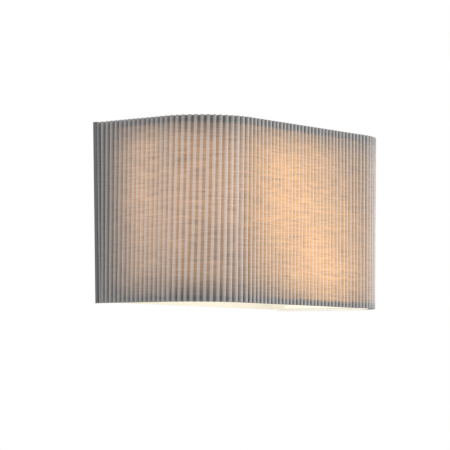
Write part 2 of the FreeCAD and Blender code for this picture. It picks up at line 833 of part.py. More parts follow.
# ---- leads -----------------------------------------------------------------------------
def lead_route(side, hand):
    """From the terminal block through the bush to one side of a lampholder.

    side is 1 for the upper lamp and -1 for the lower; hand is -1 for live, 1 for neutral.
    """
    x_end = pin_places(-side * lamp_stagger)[0 if hand < 0 else 1]
    y_end = -lamp_reach + holder_depth / 2 - lead_entry
    beside = lead_diameter / 2 + lead_gap
    x_start = block_offset + hand * block_length / block_poles + side * beside
    y_start = panel_front - block_depth * block_bore_place
    z_start = block_level + block_height / 2
    x_bush = hand * beside
    z_bush = lead_hole_rise + side * beside
    lift = lead_lift + lead_lift_step * hand + lead_side_share * side * beside
    x_turn = x_bush + lead_lean * (x_start - x_bush)
    y_turn = y_start - lead_turn_depth - side * lead_turn_step
    route = [
        (x_start, y_start, z_start),
        (x_start, y_start, z_start + lift),
        (x_turn, y_turn, z_start + lift - lead_fall),
        (x_bush, cover_front + lead_inner_run, z_bush),
        (x_bush, cover_front - lead_outer_run - lead_outer_step * side, z_bush),
    ]
    if side > 0:
        route.append((x_end, cover_front - lead_upper_turn, lead_level + lead_upper_rise))
        route.append((x_end, y_end + lead_final_run, lead_level))
    else:
        route.append((x_bush, lead_pass_y, arm_top + lead_pass_clear))
        route.append((x_bush, lead_pass_y - lead_pass_step, -arm_top - lead_pass_clear))
        route.append((x_end, y_end + lead_final_run, -lead_level))
    route.append((x_end, y_end, side * lead_level))
    return route


# ---- build -----------------------------------------------------------------------------
save("pleated_fabric", pleated_fabric())
save("shade_liner", plan_shell(liner_offset, liner_thickness, wall_gap,
                               hem_height - half_height, shade_height - 2 * hem_height))
save("upper_hem_tape", plan_shell(liner_offset, liner_thickness, wall_gap,
                                  half_height - hem_height, hem_height))
save("lower_hem_tape", plan_shell(liner_offset, liner_thickness, wall_gap, -half_height, hem_height))
save("upper_ring", wire_ring(ring_level))
save("lower_ring", wire_ring(-ring_level))
save("shade_uprights", uprights())
save("back_edge_tapes", back_edge_tapes())
right_clips = [fork_clip(level) for level in (-pin_spacing / 2, pin_spacing / 2)]
save("fork_clips", right_clips + [mirrored_x(clip) for clip in right_clips])

right_pins = [shoulder_pin(level) for level in (-pin_spacing / 2, pin_spacing / 2)]
save("shoulder_pins", right_pins + [mirrored_x(pin) for pin in right_pins])
save("back_panel", back_panel())
save("cable_grommet", cable_grommet())
save("wiring_cover", wiring_cover())
save("cover_screws", cover_screws())
save("terminal_block", terminal_block())
save("terminal_screws", terminal_screws())
save("terminal_fixing_screw", terminal_fixing_screw())
save("earth_stud", earth_stud())
save("earth_nut", earth_nut())
save("earth_tag", earth_tag())
save("earth_lead", round_run(earth_route(), lead_diameter / 2))

save("lamp_bracket", lamp_bracket())
save("bracket_screws", bracket_screws())
save("bracket_nuts", bracket_nuts())
save("lead_bush", lead_bush())
upper_x, lower_x = -lamp_stagger, lamp_stagger
save("upper_lampholder", lampholder(upper_x))
save("lower_lampholder", mirrored_z(lampholder(lower_x)))
save("upper_contacts", contacts(upper_x))
save("lower_contacts", [mirrored_z(sleeve) for sleeve in contacts(lower_x)])
save("holder_screws", holder_screws(1) + holder_screws(-1))
for name, x, place in (("upper_lamp", upper_x, solid_of), ("lower_lamp", lower_x, mirrored_z)):
    save(name + "_base", place(lamp_base(x)))
    save(name + "_glass", place(lamp_glass(x)))
    save(name + "_filament", place(lamp_filament(x)))
    save(name + "_pins", [place(pin) for pin in lamp_pins(x)])
save("live_leads", [round_run(lead_route(side, -1), lead_diameter / 2) for side in (1, -1)])
save("neutral_leads", [round_run(lead_route(side, 1), lead_diameter / 2) for side in (1, -1)])
print("plan length", round(plan_length, 1), "pleat pitch",
      round((plan_length - 2 * (wall_gap + selvedge)) / pleat_count, 3))
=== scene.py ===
"""Looks of the pleated fabric wall light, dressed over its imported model.

Metres, in the part's own frame: X along the wall, Y into the wall, Z up. The shade stands out
from the wall towards -Y.
"""

import json
import math

import bpy
from mathutils import Matrix, Vector, noise


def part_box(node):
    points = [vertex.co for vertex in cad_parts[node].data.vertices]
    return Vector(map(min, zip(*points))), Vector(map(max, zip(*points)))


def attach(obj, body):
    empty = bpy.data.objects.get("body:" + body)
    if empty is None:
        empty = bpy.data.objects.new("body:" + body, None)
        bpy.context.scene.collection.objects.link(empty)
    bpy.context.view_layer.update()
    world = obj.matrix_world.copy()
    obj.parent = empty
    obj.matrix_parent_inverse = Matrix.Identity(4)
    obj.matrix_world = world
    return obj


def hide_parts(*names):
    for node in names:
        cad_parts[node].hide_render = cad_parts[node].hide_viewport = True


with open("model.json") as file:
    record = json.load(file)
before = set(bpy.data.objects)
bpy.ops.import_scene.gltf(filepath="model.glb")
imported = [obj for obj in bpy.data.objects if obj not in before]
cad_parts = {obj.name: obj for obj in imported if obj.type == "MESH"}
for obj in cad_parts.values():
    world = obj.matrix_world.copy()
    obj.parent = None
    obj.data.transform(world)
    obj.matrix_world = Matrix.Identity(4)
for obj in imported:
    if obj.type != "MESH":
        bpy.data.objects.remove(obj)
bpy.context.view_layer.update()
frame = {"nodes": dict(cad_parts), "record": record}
scene = bpy.context.scene
MM = 0.001


# ---- camera ----------------------------------------------------------------------------
def make_camera():
    """Left of the light and a little below it, looking slightly up, with a long lens."""
    place = Vector((-1.6529, -1.4106, -0.1539))
    heading = math.radians(50.45)  # from +Y towards +X
    pitch = math.radians(3.966)
    roll = math.radians(0.453)
    forward = Vector((
        math.sin(heading) * math.cos(pitch),
        math.cos(heading) * math.cos(pitch),
        math.sin(pitch)))
    right = forward.cross(Vector((0, 0, 1))).normalized()
    up = right.cross(forward)
    turn = Matrix.Rotation(-roll, 3, forward)
    matrix = Matrix((turn @ right, turn @ up, -forward)).transposed().to_4x4()
    matrix.translation = place
    data = bpy.data.cameras.new("camera")
    data.sensor_width = 36.0
    data.lens = 166.03
    camera = bpy.data.objects.new("camera", data)
    camera.matrix_world = matrix
    scene.collection.objects.link(camera)
    scene.camera = camera


make_camera()

# ---- the shade's sizes, from the frame and the fold's own shape ------------------------
cloth_low, cloth_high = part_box("pleated_fabric")
pleat_height = 5.5 * MM
corner_radius = 53.5 * MM
pleat_count = 93
selvedge = 2.9 * MM  # from the back edge to where the first whole fold begins
hem_height = 7.0 * MM
cloth_thickness = 0.4 * MM
liner_inset = 0.8 * MM  # from the valley line to the liner's outer face
liner_thickness = 0.5 * MM
half_width = cloth_high.x - pleat_height
front = -cloth_low.y - pleat_height
wall_gap = -cloth_high.y
top, bottom = cloth_high.z, cloth_low.z
fold_reach = pleat_height - cloth_thickness / 2
side_run = front - corner_radius
front_run = 2 * (half_width - corner_radius)
corner_run = math.pi / 2 * corner_radius
corner_end = side_run + corner_run
plan_length = 2 * side_run + front_run + 2 * corner_run
pleat_pitch = (plan_length - 2 * (wall_gap + selvedge)) / pleat_count


def rise(value, start, width):
    """Soft step: 0 up to the start, 1 from one width past it."""
    share = min(max((value - start) / width, 0.0), 1.0)
    return share * share * (3 - 2 * share)


def fall(value, end, width):
    """Soft step: 1 up to one width before the end, 0 past it."""
    return rise(-value, -end, width)


def from_wall(along):
    """Distance along the plan to the nearer wall edge."""
    return min(along, plan_length - along)


def height_share(level):
    """Height on the shade, from -1 at its lower edge to 1 at its upper edge."""
    return (2 * level - top - bottom) / (top - bottom)


# ---- light -----------------------------------------------------------------------------
# Light through the cloth: two centres of light, each with its strength and place.
light_centres = (
    (0.923, Vector((-0.0345, -0.0500, 0.0312))),
    (0.627, Vector((0.0245, -0.0663, -0.0564))),
)
light_scale = 0.005

# Light of the lamps on the inner surfaces.
lamp_strength = 0.8
lamp_gain = 10

# How the glow fades: beside the wall panel's flanges, and from the hems inwards.
flange_shade_start = 8 * MM
flange_shade_width = 64 * MM
hem_shade_start = 4 * MM
hem_shade_width = 27 * MM
upper_hem_glow = 0.45
lower_hem_glow = 0.32  # at the left, more towards the right
lower_hem_gain = 0.42
lower_gain_start = -100 * MM
lower_gain_width = 160 * MM


def lamp_centre(name, outwards):
    """Middle of a lamp's light, a little further out of its holder than the glass's middle."""
    low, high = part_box(name + "_glass")
    return (low + high) / 2 + Vector((0, 0, outwards * 0.7 * MM))


lamp_centres = (lamp_centre("upper_lamp", 1), lamp_centre("lower_lamp", -1))


def light_on(point, normal):
    """Light that reaches a spot of the shade from the lamps, before the cloth dims it."""
    total = 0.0
    for strength, centre in light_centres:
        ray = point - centre
        total += strength * light_scale * max(ray.dot(normal), 0.0) / ray.length ** 3
    return total


def lamps_on(point, normal):
    """Direct light of the two lamps on an inner surface, from 0 (none) to 1."""
    total = 0.0
    for centre in lamp_centres:
        ray = point - centre
        total += lamp_strength * light_scale * max(ray.dot(normal), 0.0) / ray.length ** 3
    return 1 - math.exp(-lamp_gain * total)


def glow_at(point, normal):
    """Light through the cloth: less beside the wall panel's flanges and towards the hems."""
    to_edge = min(top - point.z, point.z - bottom)
    beside_wall = rise(-point.y, flange_shade_start, flange_shade_width)
    at_hem = upper_hem_glow
    if point.z <= 0:
        to_right = rise(point.x, lower_gain_start, lower_gain_width)
        at_hem = lower_hem_glow + lower_hem_gain * to_right
    near_hem = at_hem + (1 - at_hem) * rise(to_edge, hem_shade_start, hem_shade_width)
    return light_on(point, normal) * beside_wall * near_hem


# How open the folds stand: pressed on the front, half open on the sides, wide on a corner.
pressed = 0.0
half_open = 0.5
wide_open = 1.0
corner_blend = 24 * MM  # along the plan, from one state to the next


def open_share(along):
    """How open the folds stand at a place along the plan."""
    at_corner = rise(from_wall(along), side_run - corner_blend / 2, corner_blend)
    off_front = fall(from_wall(along), corner_end, corner_blend)
    return (half_open + (wide_open - half_open) * at_corner) * off_front


# ---- plan ------------------------------------------------------------------------------
def plan(along):
    """Point and outward normal of the valley line, along it from the left wall edge."""
    if along > plan_length / 2:
        x, y, nx, ny = plan(plan_length - along)
        return -x, y, -nx, ny
    if along <= side_run:
        return -half_width, -along, -1.0, 0.0
    if along <= corner_end:
        angle = (along - side_run) / corner_radius
        nx, ny = -math.cos(angle), -math.sin(angle)
        return -half_width + corner_radius * (1 + nx), -side_run + corner_radius * ny, nx, ny
    return -half_width + corner_radius + along - side_run - corner_run, -front, 0.0, -1.0


# ---- mesh helpers ----------------------------------------------------------------------
def mesh_object(name, points, faces, uvs=None, values=None):
    """Mesh piece from points and faces, with a UV map in metres and point values."""
    data = bpy.data.meshes.new(name)
    data.from_pydata(points, [], faces)
    data.polygons.foreach_set("use_smooth", [True] * len(faces))
    if uvs:
        layer = data.uv_layers.new(name="cloth")
        flat = []
        for loop in data.loops:
            flat.extend(uvs[loop.vertex_index])
        layer.data.foreach_set("uv", flat)
    for key, numbers in (values or {}).items():
        data.attributes.new(key, "FLOAT", "POINT").data.foreach_set("value", numbers)
    data.validate()
    data.update()
    piece = bpy.data.objects.new(name, data)
    scene.collection.objects.link(piece)
    return piece


def grid_faces(columns, rows):
    """Faces between the points of a grid that are listed column by column."""
    faces = []
    for column in range(columns - 1):
        for row in range(rows - 1):
            first = column * rows + row
            faces.append((first, first + rows, first + rows + 1, first + 1))
    return faces


def solidify(piece, thickness):
    """Thickness for a sheet, half of it on each side of the mesh."""
    layer = piece.modifiers.new("thickness", "SOLIDIFY")
    layer.thickness = thickness
    layer.offset = 0.0


# ---- pleated cloth ---------------------------------------------------------------------
fold_samples = 18
flat_samples = 5
cloth_rows = 44
hem_rows_mm = (0, 0.6, 2, 3.5, 5, 6, 7, 8, 9)  # up from the lower edge, close at the hem's end
hem_rows_end = hem_height + 3 * MM

# Half a fold, in shares from its crest's middle: the crest's end and the flat valley's start.
crest_share = 0.34
side_crest_share = 0.24
valley_share = 0.74
crest_rounding = 0.22
side_blend = 20 * MM  # along the plan, from the sides' narrower crests to the others

# Irregularities of the folds. A hump is how far, then the middle and reach along the plan.
lean_humps = ((3.4 * MM, 0.002, 0.020), (-2.6 * MM, 0.118, 0.046), (1.5 * MM, 0.335, 0.030))
lean_start = -4.2 * MM  # from the wall
lean_rise = 12 * MM
crowding = 0.9 * MM
crowding_start = 70 * MM
crowding_rise = 40 * MM
crowding_fall = 60 * MM
crowding_humps = ((0.5 * MM, 0.215, 0.025), (0.5 * MM, 0.350, 0.020))
waver = 0.4 * MM
waver_start = 2.4 * MM  # from the wall
waver_rise = 8 * MM
waver_grain = (0.0075, 0.055, 3.1)  # width, height, seed
swelling = 0.07
swelling_grain = (0.0060, 0.070, 9.7)
nearest_to_wall = 0.4 * MM

# Outward shifts at the upper and lower edge, with the middle and reach of where they act.
edge_shifts = (0.2 * MM, -6.5 * MM)
edge_stretch = (0.0015, 0.0085)  # from the wall
corner_shifts = (1.3 * MM, 0.7 * MM)
corner_stretch = (0.405, 0.030)  # along the plan, round the right corner

# Painted shade: the folds beside the wall are darker.
wall_shade_end = 16 * MM
wall_shade_width = 9 * MM

# The hem bands let no light through. The lower one is seen as a narrower band.
lower_hem_share = 0.8
hem_edge_waver = 1.4 * MM
hem_edge_grain = 4 * MM
hem_edge_blur = 3.2 * MM


def fold_share(place, along):
    """Share of the fold's height at a place within one pleat: flat valley, rounded crest.

    The crests are narrower on the sides than on the front and round the corners.
    """
    off_crest = abs(2 * place - 1)
    on_side = fall(from_wall(along), side_run + side_blend / 5, side_blend)
    crest_end = crest_share - (crest_share - side_crest_share) * on_side
    flank = rise(off_crest, crest_end, valley_share - crest_end)
    return (1 - flank) * (1 - crest_rounding * off_crest ** 2)


def cloth_columns():
    """(place along the plan, share of the fold's height) of every upright line of the cloth.

    The first and last folds run on flat to the wall at crest height.
    """
    flat_run = selvedge + pleat_pitch / 2
    columns = [(wall_gap + step * flat_run / flat_samples, 1.0) for step in range(flat_samples)]
    for number in range(pleat_count):
        for step in range(fold_samples):
            before_first_crest = number == 0 and step < fold_samples / 2
            past_last_crest = number == pleat_count - 1 and step > fold_samples / 2
            if before_first_crest or past_last_crest:
                continue
            place = step / fold_samples
            along = wall_gap + selvedge + (number + place) * pleat_pitch
            columns.append((along, fold_share(place, along)))
    for along, share in reversed(columns[:flat_samples]):
        columns.append((plan_length - along, share))
    return columns


def hump(along, middle, reach):
    return math.exp(-((along - middle) / reach) ** 2)


def humps(along, rows):
    """Sum of the humps that these rows list."""
    return sum(far * hump(along, middle, reach) for far, middle, reach in rows)


def fold_lean(along):
    """How far the folds' lower ends stand further along the plan than their upper ends."""
    return humps(along, lean_humps)


def fold_drift(along):
    """How far the folds are crowded to the right, taken over their whole height."""
    drift = crowding * rise(along, crowding_start, crowding_rise)
    drift += humps(along, crowding_humps)
    return drift * fall(along, plan_length, crowding_fall)


def shift_at(shifts, up):
    """Shift at a height, from the ones at the upper and the lower edge."""
    upper, lower = shifts
    return (upper + lower) / 2 + (upper - lower) / 2 * up


def edge_bulge(along, up):
    """Outward shift of the folds by the wall: the back edges are drawn in at the bottom."""
    return shift_at(edge_shifts, up) * hump(from_wall(along), *edge_stretch)


def corner_bulge(along, up):
    """Outward shift of the cloth round one corner, which is fuller than the other."""
    return shift_at(corner_shifts, up) * hump(along, *corner_stretch)


def wander(along, level, grain):
    """Smooth irregular value from -1 to 1, by the grain's width, height and seed."""
    width, height, seed = grain
    return noise.noise(Vector((along / width, level / height, seed)))


def cloth_levels():
    """Heights of the rows: closer at the hems, so that their edges are crisp."""
    hems = [bottom + step * MM for step in hem_rows_mm]
    span = top - bottom - 2 * hem_rows_end
    inner = [bottom + hem_rows_end + span * row / (cloth_rows - 1) for row in range(cloth_rows)]
    return hems + inner + [top + bottom - level for level in reversed(hems)]


def cloth_spot(along, share, level):
    """Spot on the valley line, outward normal and spot on the folded cloth."""
    up = height_share(level)
    loose = 1 - 0.5 * abs(up) ** 4  # the hems hold the folds' ends
    shift = waver * wander(along, level, waver_grain) * loose
    shift *= rise(from_wall(along), waver_start, waver_rise)
    shift += fold_drift(along)
    shift -= fold_lean(along) * up / 2 * rise(from_wall(along), lean_start, lean_rise)
    x, y, nx, ny = plan(max(along + shift, nearest_to_wall))
    swell = abs(wander(along, level, swelling_grain))
    out = share * (fold_reach * (1 - swelling * swell * loose) + edge_bulge(along, up))
    out += corner_bulge(along, up)
    spot = Vector((x + nx * out, y + ny * out, level))
    return Vector((x, y, level)), Vector((nx, ny, 0)), spot


def inside_hem(along, level):
    """0 on the hem bands, 1 between them, with slightly wavy edges."""
    up = height_share(level)
    hem_end = hem_height if up > 0 else lower_hem_share * hem_height
    hem_end += hem_edge_waver * noise.noise(Vector((along / hem_edge_grain, up, 5.3)))
    to_edge = min(top - level, level - bottom)
    return rise(to_edge, hem_end - hem_edge_blur / 2, hem_edge_blur)


def build_cloth():
    """The pleated cloth, and the size of the flat cloth that it is folded from."""
    columns = cloth_columns()
    levels = cloth_levels()
    points, uvs = [], []
    values = {name: [] for name in ("glow", "crest", "inside_hem", "spread", "painted_wall_shade")}
    travelled = 0.0
    previous = None
    for along, share in columns:
        corner = (along, share * fold_reach)
        if previous:
            travelled += math.dist(corner, previous)
        previous = corner
        painted_wall_shade = fall(from_wall(along), wall_shade_end, wall_shade_width)
        for level in levels:
            valley, normal, spot = cloth_spot(along, share, level)
            points.append(spot)
            uvs.append((travelled, level - bottom))
            values["glow"].append(glow_at(valley, normal))
            values["crest"].append(share)
            values["inside_hem"].append(inside_hem(along, level))
            values["spread"].append(open_share(along))
            values["painted_wall_shade"].append(painted_wall_shade)
    faces = grid_faces(len(columns), len(levels))
    cloth = mesh_object("pleated_cloth", points, faces, uvs, values)
    solidify(cloth, cloth_thickness)
    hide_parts("pleated_fabric")
    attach(cloth, "shade")
    return cloth, (travelled, top - bottom)


# ---- liner and hem tapes ---------------------------------------------------------------
corner_steps = 24
straight_steps = 10
liner_rows = 24
hem_band_rows = 4


def band_columns():
    """Places along the plan for the bands, close together round the corners."""
    far_corner, far_side = plan_length - corner_end, plan_length - side_run
    stretches = (
        (wall_gap, side_run, straight_steps),
        (side_run, corner_end, corner_steps),
        (corner_end, far_corner, 2 * straight_steps),
        (far_corner, far_side, corner_steps),
        (far_side, plan_length - wall_gap, straight_steps))
    places = [wall_gap]
    for start, end, count in stretches:
        places += [start + (end - start) * (step + 1) / count for step in range(count)]
    return places


def build_band(name, low, high, rows, node):
    """Upright band inside the cloth, along the plan, from one back edge to the other."""
    places = band_columns()
    middle = liner_inset + liner_thickness / 2
    points, uvs, glow = [], [], []
    for along in places:
        x, y, nx, ny = plan(along)
        for row in range(rows):
            level = low + (high - low) * row / (rows - 1)
            place = Vector((x - nx * middle, y - ny * middle, level))
            points.append(place)
            uvs.append((along, level - bottom))
            glow.append(lamps_on(place, Vector((nx, ny, 0))))
    band = mesh_object(name, points, grid_faces(len(places), rows), uvs, {"glow": glow})
    solidify(band, liner_thickness)
    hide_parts(node)
    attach(band, "shade")
    return band


# ---- back edge tapes -------------------------------------------------------------------
tape_thickness = 0.45 * MM
tape_inside = 1.0 * MM  # how far inside the valley line the tape starts
tape_outside = 0.42 * MM  # how far outside the crests it lies
tape_behind = 0.3 * MM  # how far behind the cloth's back edge it lies
tape_width = 4.4 * MM  # how far forward of that edge it reaches
tape_bend = 0.3 * MM
tape_bend_depth = 0.08 * MM
tape_rows = 60
seam_waver = 0.25 * MM
seam_grain = 12 * MM


def tape_profile():
    """The tape's section as (distance out from the valley line, Y), from inside to its seam."""
    outer = pleat_height + tape_outside
    back, seam = -wall_gap + tape_behind, -wall_gap - tape_width
    return ((-tape_inside, back), (outer - tape_bend, back),
            (outer - tape_bend / 3, back - tape_bend_depth), (outer, back - tape_bend),
            (outer, (back + seam) / 2), (outer, seam))


def seam_wave(level, side):
    """How far the tape's seam is off its line at a height, differently on each side."""
    return seam_waver * noise.noise(Vector((level / seam_grain, side * 4.0, 1.5)))


def build_edge_tape(name, side):
    """Tape folded over one back edge of the cloth, its seam a little wavy."""
    profile = tape_profile()
    outer = profile[-1][0]
    points, uvs = [], []
    travelled = 0.0
    for number, (off, y) in enumerate(profile):
        if number:
            travelled += math.dist(profile[number - 1], (off, y))
        at_seam = number == len(profile) - 1
        for row in range(tape_rows):
            level = bottom + (top - bottom) * row / (tape_rows - 1)
            wave = seam_wave(level, side) if at_seam else 0.0
            splay = edge_bulge(-y, height_share(level)) * max(off, 0) / outer
            x = side * (half_width + off + splay)
            points.append(Vector((x, y + wave, level)))
            uvs.append((level - bottom, travelled))
    tape = mesh_object(name, points, grid_faces(len(profile), tape_rows), uvs)
    solidify(tape, tape_thickness)
    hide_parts("back_edge_tapes")
    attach(tape, "shade")
    return tape


# ---- shader helpers --------------------------------------------------------------------
# Sockets of the Mix node that carry colours; their names are used more than once.
mix_first, mix_second, mix_result = 6, 7, 2


def dulled(color, share):
    """The colour, darker."""
    return tuple(part * share for part in color)


class Finish:
    """A material and short ways to add its nodes."""

    def __init__(self, name):
        self.material = bpy.data.materials.new(name)
        self.material.use_nodes = True
        self.tree = self.material.node_tree
        self.shader = self.tree.nodes["Principled BSDF"]

    def node(self, kind, settings=None, **inputs):
        made = self.tree.nodes.new("ShaderNode" + kind)
        for key, value in (settings or {}).items():
            setattr(made, key, value)
        for key, value in inputs.items():
            self.put(made.inputs[key.replace("_", " ")], value)
        return made

    def put(self, socket, value):
        """A socket's value, or the output that feeds it. A colour gets its alpha here."""
        if isinstance(value, bpy.types.NodeSocket):
            self.tree.links.new(value, socket)
        elif socket.type == "RGBA":
            socket.default_value = (*value, 1)
        else:
            socket.default_value = value

    def feed(self, socket, value):
        self.put(self.shader.inputs[socket], value)

    def math(self, operation, first, second=0.0):
        made = self.node("Math", {"operation": operation})
        self.put(made.inputs[0], first)
        self.put(made.inputs[1], second)
        return made.outputs[0]

    def product(self, *values):
        total = values[0]
        for value in values[1:]:
            total = self.math("MULTIPLY", total, value)
        return total

    def object_place(self, scale=(1, 1, 1)):
        coordinates = self.node("TexCoord")
        mapping = self.node("Mapping", Scale=scale, Vector=coordinates.outputs["Object"])
        return mapping.outputs[0]

    def cloth_place(self, scale=(1, 1, 1)):
        """Coordinates on the flat cloth: metres along it and up it, each times its scale."""
        uv = self.node("UVMap", {"uv_map": "cloth"})
        mapping = self.node("Mapping", Scale=scale, Vector=uv.outputs[0])
        return mapping.outputs[0]

    def noise(self, place, scale, detail=2.0, roughness=0.5):
        made = self.node("TexNoise", Vector=place, Scale=scale, Detail=detail, Roughness=roughness)
        return made.outputs["Fac"]

    def weave(self, along, up, detail=2.0, roughness=0.5):
        """Noise on the flat cloth, with one scale along the cloth and one up it."""
        return self.noise(self.cloth_place((along, up, 1)), 1.0, detail, roughness)

    def span(self, value, low, high, to_low, to_high, kind="LINEAR"):
        made = self.node("MapRange", {"interpolation_type": kind})
        for socket, number in zip(made.inputs, (value, low, high, to_low, to_high)):
            self.put(socket, number)
        return made.outputs[0]

    def vary(self, chance, low, high):
        """A noise value, which seldom leaves 0.3 to 0.7, brought to another range."""
        return self.span(chance, 0.3, 0.7, low, high)

    def mix(self, share, first, second, blend="MIX"):
        made = self.node("Mix", {"data_type": "RGBA", "blend_type": blend})
        self.put(made.inputs[0], share)
        self.put(made.inputs[mix_first], first)
        self.put(made.inputs[mix_second], second)
        return made.outputs[mix_result]

    def value(self, name):
        return self.node("Attribute", {"attribute_name": name}).outputs["Fac"]

    def bump(self, height, strength, distance):
        made = self.node("Bump", Height=height, Strength=strength, Distance=distance)
        self.feed("Normal", made.outputs[0])


# ---- finishes of the cloth pieces ------------------------------------------------------
cloth_grey = (0.5, 0.49, 0.485)
warm_valley = (1, 0.55, 0.27)
warm_crest = (1, 0.64, 0.42)
warm_open_fold = (1, 0.485, 0.14)


def cloth_finish():
    """Silver-grey slub cloth that glows where the lamps light it from inside."""
    finish = Finish("shade_cloth")
    finish.feed("Roughness", 0.85)
    fine = finish.weave(260, 1700)
    warp = finish.weave(1900, 60, 1.0)
    threads = finish.product(finish.math("ADD", fine, warp), 0.5)
    lines = finish.weave(26, 860, 2.0, 0.6)
    flecks = finish.span(finish.weave(90, 950, 0.0), 0.82, 0.87, 0.0, 1.0)
    finish.bump(finish.math("ADD", threads, finish.product(lines, 0.8)), 0.5, 0.0003)
    add_cloth_color(finish, threads, lines, flecks)
    add_cloth_glow(finish, threads, lines, flecks)
    return finish.material


def add_cloth_color(finish, threads, lines, flecks):
    """Grey with the weave's threads, lines and flecks, and painted shade down in the folds, deepest
    where they are pressed, and beside the wall.
    """
    tone = finish.product(
        finish.vary(threads, 0.90, 1.08),
        finish.span(lines, 0.34, 0.58, 0.90, 1.04))
    tone = finish.math("SUBTRACT", tone, finish.product(flecks, 0.4))
    # Painted shade in the folds' valleys, darkest on the pressed folds of the front.
    in_valley = finish.span(finish.value("spread"), pressed, half_open, 0.19, 0.76)
    painted_fold_shade = finish.span(finish.value("crest"), 0.45, 0.94, in_valley, 1.0, "SMOOTHSTEP")
    # Painted shade on the folds beside the wall.
    painted_wall_shade = finish.span(finish.value("painted_wall_shade"), 0.0, 1.0, 1.0, 0.84)
    tone = finish.product(tone, finish.product(painted_fold_shade, painted_wall_shade))
    finish.feed("Base Color", finish.mix(1.0, cloth_grey, tone, "MULTIPLY"))


def add_cloth_glow(finish, threads, lines, flecks):
    """Lamp light through the cloth.

    On the front the crests, which are doubled cloth, are dimmer and paler than the single layer
    between them. That layer shows its weave against the light: threads, long weft slubs and
    cloudy thicker patches. On the sides and round the corners crest and valley differ less.
    """
    crest = finish.value("crest")
    spread = finish.value("spread")
    through = finish.product(
        finish.vary(threads, 1.08, 0.92),
        finish.span(lines, 0.34, 0.58, 0.72, 1.18),
        finish.vary(finish.weave(9, 330, 1.0), 0.78, 1.22),
        finish.vary(finish.weave(7, 55), 0.86, 1.14))
    through = finish.math("SUBTRACT", through, finish.product(flecks, 0.5))
    evenness = finish.span(crest, 0.7, 0.95, 0.0, 0.6)
    to_even = finish.product(finish.math("SUBTRACT", 1.0, through), evenness)
    through = finish.math("ADD", through, to_even)

    on_crest = finish.span(spread, half_open, wide_open, 0.74, 0.87)
    in_valley = finish.span(spread, pressed, half_open, 1.09, 0.80)
    fold = finish.span(crest, 0.76, 0.965, in_valley, on_crest, "SMOOTHSTEP")
    power = finish.product(finish.value("glow"), fold, through, finish.value("inside_hem"))
    finish.feed("Emission Strength", power)

    on_front = finish.mix(finish.span(crest, 0.7, 0.95, 0.0, 1.0), warm_valley, warm_crest)
    off_front = finish.span(spread, pressed, half_open, 0.0, 1.0)
    finish.feed("Emission Color", finish.mix(off_front, warm_open_fold, on_front))


def liner_finish():
    """White laminated liner, lit by the lamps on its inner side."""
    finish = Finish("liner")
    finish.feed("Roughness", 0.5)
    grain = finish.weave(900, 900, 3.0)
    finish.bump(grain, 0.15, 0.0002)
    finish.feed("Base Color", finish.mix(grain, (0.72, 0.69, 0.63), (0.64, 0.61, 0.55)))
    glow = finish.value("glow")
    finish.feed("Emission Color", finish.mix(glow, (1, 0.80, 0.58), (1, 0.93, 0.78)))
    finish.feed("Emission Strength", finish.product(glow, 0.50))
    return finish.material


def tape_finish(name, light, dark, lit):
    """Woven tape with a fine cross rib, lit by the lamps where it lies inside the shade."""
    finish = Finish(name)
    finish.feed("Roughness", 0.9)
    ribs = finish.node("TexWave", {"bands_direction": "X"}, Vector=finish.cloth_place(),
                       Scale=160.0, Distortion=1.5, Detail=2.0)
    dust = finish.noise(finish.cloth_place(), 700.0, 3.0)
    finish.bump(ribs.outputs["Fac"], 0.4, 0.0002)
    finish.feed("Base Color", finish.mix(dust, dark, light))
    if lit:
        finish.feed("Emission Color", (1, 0.90, 0.72))
        finish.feed("Emission Strength", finish.product(finish.value("glow"), 0.75))
    return finish.material


# ---- finishes of the solid pieces ------------------------------------------------------
def lamp_lit(finish, strength):
    """Warm light of the two lamps on the faces that are turned to them."""
    coordinates = finish.node("TexCoord")
    place, normal = coordinates.outputs["Object"], coordinates.outputs["Normal"]
    total = 0.0
    for centre in lamp_centres:
        ray = finish.node("VectorMath", {"operation": "SUBTRACT"})
        finish.put(ray.inputs[0], centre)
        finish.put(ray.inputs[1], place)
        length = finish.node("VectorMath", {"operation": "LENGTH"})
        finish.put(length.inputs[0], ray.outputs[0])
        facing = finish.node("VectorMath", {"operation": "DOT_PRODUCT"})
        finish.put(facing.inputs[0], ray.outputs[0])
        finish.put(facing.inputs[1], normal)
        cube = finish.math("POWER", length.outputs["Value"], 3.0)
        share = finish.math("DIVIDE", finish.math("MAXIMUM", facing.outputs["Value"], 0.0), cube)
        share = finish.product(share, lamp_strength * light_scale * -lamp_gain)
        total = finish.math("ADD", total, share)
    lit = finish.math("SUBTRACT", 1.0, finish.math("EXPONENT", total))
    finish.feed("Emission Color", (1, 0.89, 0.66))
    finish.feed("Emission Strength", finish.product(lit, strength))


def lit_steel_finish():
    """White powder coat with a fine orange peel, warm where the lamps shine on it."""
    finish = Finish("white_steel")
    peel = finish.noise(finish.object_place(), 850.0, 2.0)
    finish.bump(peel, 0.12, 0.0002)
    wear = finish.noise(finish.object_place(), 60.0, 4.0)
    finish.feed("Roughness", finish.vary(wear, 0.36, 0.5))
    finish.feed("Base Color", finish.mix(wear, (0.72, 0.71, 0.68), (0.68, 0.67, 0.64)))
    lamp_lit(finish, 0.39)
    return finish.material


def metal_finish(name, color, rough_low, rough_high):
    """Plated or turned metal with a fine grain, finest along Z, and a little lamp light."""
    finish = Finish(name)
    finish.feed("Metallic", 1.0)
    grain = finish.noise(finish.object_place((1, 1, 6)), 400.0, 3.0)
    finish.feed("Roughness", finish.vary(grain, rough_low, rough_high))
    finish.bump(grain, 0.1, 0.0001)
    finish.feed("Base Color", finish.mix(grain, color, dulled(color, 0.86)))
    lamp_lit(finish, 0.12)
    return finish.material


